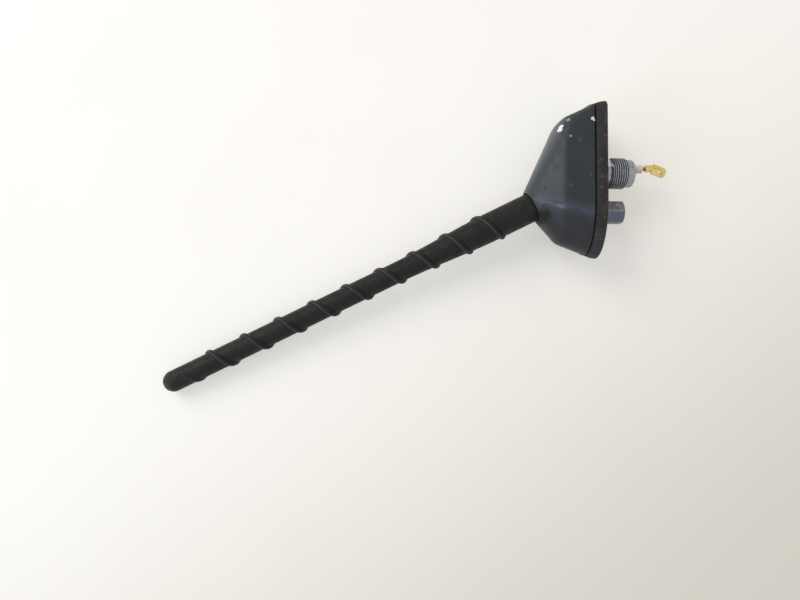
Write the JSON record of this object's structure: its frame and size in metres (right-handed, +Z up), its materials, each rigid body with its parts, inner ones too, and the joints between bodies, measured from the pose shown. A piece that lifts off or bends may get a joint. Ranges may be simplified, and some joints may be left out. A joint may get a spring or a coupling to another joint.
{
  "type": "car roof antenna",
  "caption": "Short raked car roof antenna: a rubber mast with a spiral rib screws into a wedge-shaped base on a hollow threaded stud, with a keyed post and a contact tab below.",
  "frame": {"origin": "on the threaded stud's axis, in the plane where the gasket meets the roof", "axes": "+Z up out of the roof along the stud, +X to the front of the car, +Y to its left; the mast rakes to the rear, towards -X"},
  "size_m": [0.1314, 0.0342, 0.2253],
  "materials": {
    "cover_plastic": "moulded, faded and scratched black-grey",
    "gasket_rubber": "black rubber, dusty brown",
    "die_cast_zinc": "die cast zinc alloy, dull grey",
    "plated_steel": "zinc plated, dull, with tarnish",
    "plug_rubber": "soft black rubber",
    "white_plastic": "natural white nylon",
    "brass": "turned brass",
    "tinned_brass": "stamped, tinned",
    "screw_steel": "zinc plated",
    "ivory_insulation": "ivory, slightly glossy",
    "copper": "drawn copper",
    "terminal_brass": "stamped brass, tarnished olive",
    "rod_glass_fibre": "glass-fibre rod",
    "mast_rubber": "moulded black rubber, dirt in the rib's root"
  },
  "bodies": {
    "base": {"housing_cover": "cover_plastic", "base_gasket": "gasket_rubber", "base_plate": "die_cast_zinc", "threaded_stud": "plated_steel", "locating_post": "plated_steel", "stud_plug": "plug_rubber", "socket_insulator": "white_plastic", "mast_socket": "brass", "ring_terminal": "tinned_brass", "spring_washer": "screw_steel", "contact_nut": "brass", "lead_insulation": "ivory_insulation", "lead_core": "copper", "blade_terminal": "terminal_brass", "cover_screw_front": "screw_steel", "cover_screw_left": "screw_steel", "cover_screw_right": "screw_steel"},
    "seal": {"mast_seal": "plug_rubber"},
    "mast": {"mast_ferrule": "brass", "mast_rod": "rod_glass_fibre", "mast_winding": "copper", "mast_sheath": "mast_rubber"}
  },
  "joints": [
    {"name": "mast_lift", "type": "slide", "parent": "base", "child": "seal", "axis": [-0.4462, 0, 0.8949], "range_m": [0, 0.0081]},
    {"name": "mast_turn", "type": "hinge", "parent": "seal", "child": "mast", "pos_m": [-0.0013, 0, 0], "axis": [-0.4462, 0, 0.8949], "range_deg": [0, 3600]}
  ],
  "couplings": [
    {"joint": "mast_lift", "follows": "mast_turn", "m_per_rad": 0.00012732}
  ]
}
